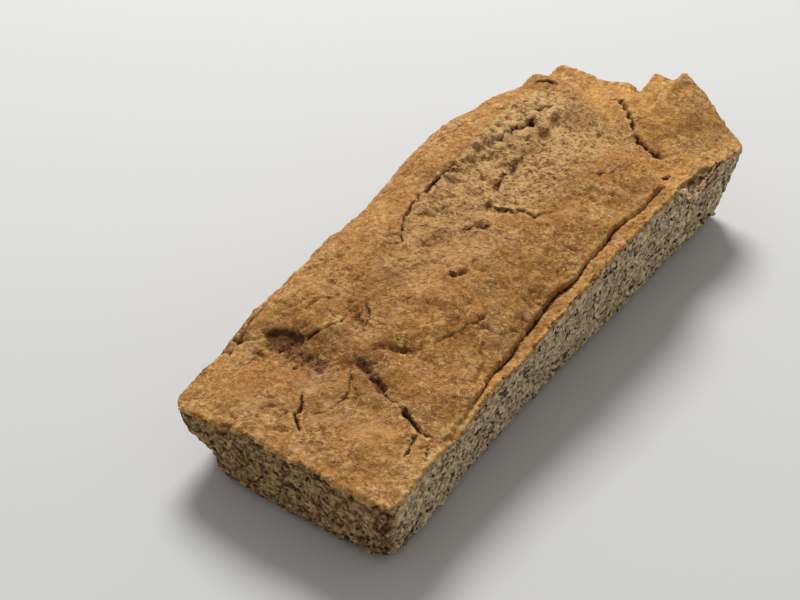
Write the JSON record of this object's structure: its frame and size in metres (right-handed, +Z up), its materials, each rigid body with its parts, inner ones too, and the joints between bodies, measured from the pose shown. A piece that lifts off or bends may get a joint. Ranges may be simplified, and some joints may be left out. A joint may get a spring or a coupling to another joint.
{
  "type": "almond flour bread",
  "caption": "Whole uncut almond flour loaf from a long tin: domed golden-brown crust with a torn band, a side ledge along a crack, and pale speckled crumb walls.",
  "frame": {"origin": "middle of the flat underside, on the surface that the loaf rests on", "axes": "+Y along the loaf towards the end whose crust lifts to a peak, +X across it towards the side with the ledge, +Z up"},
  "size_m": [0.1229, 0.305, 0.0714],
  "materials": {
    "crust": "baked crust, golden brown and matt, over pale speckled crumb"
  },
  "bodies": {
    "root": {"loaf": "crust"}
  },
  "joints": []
}
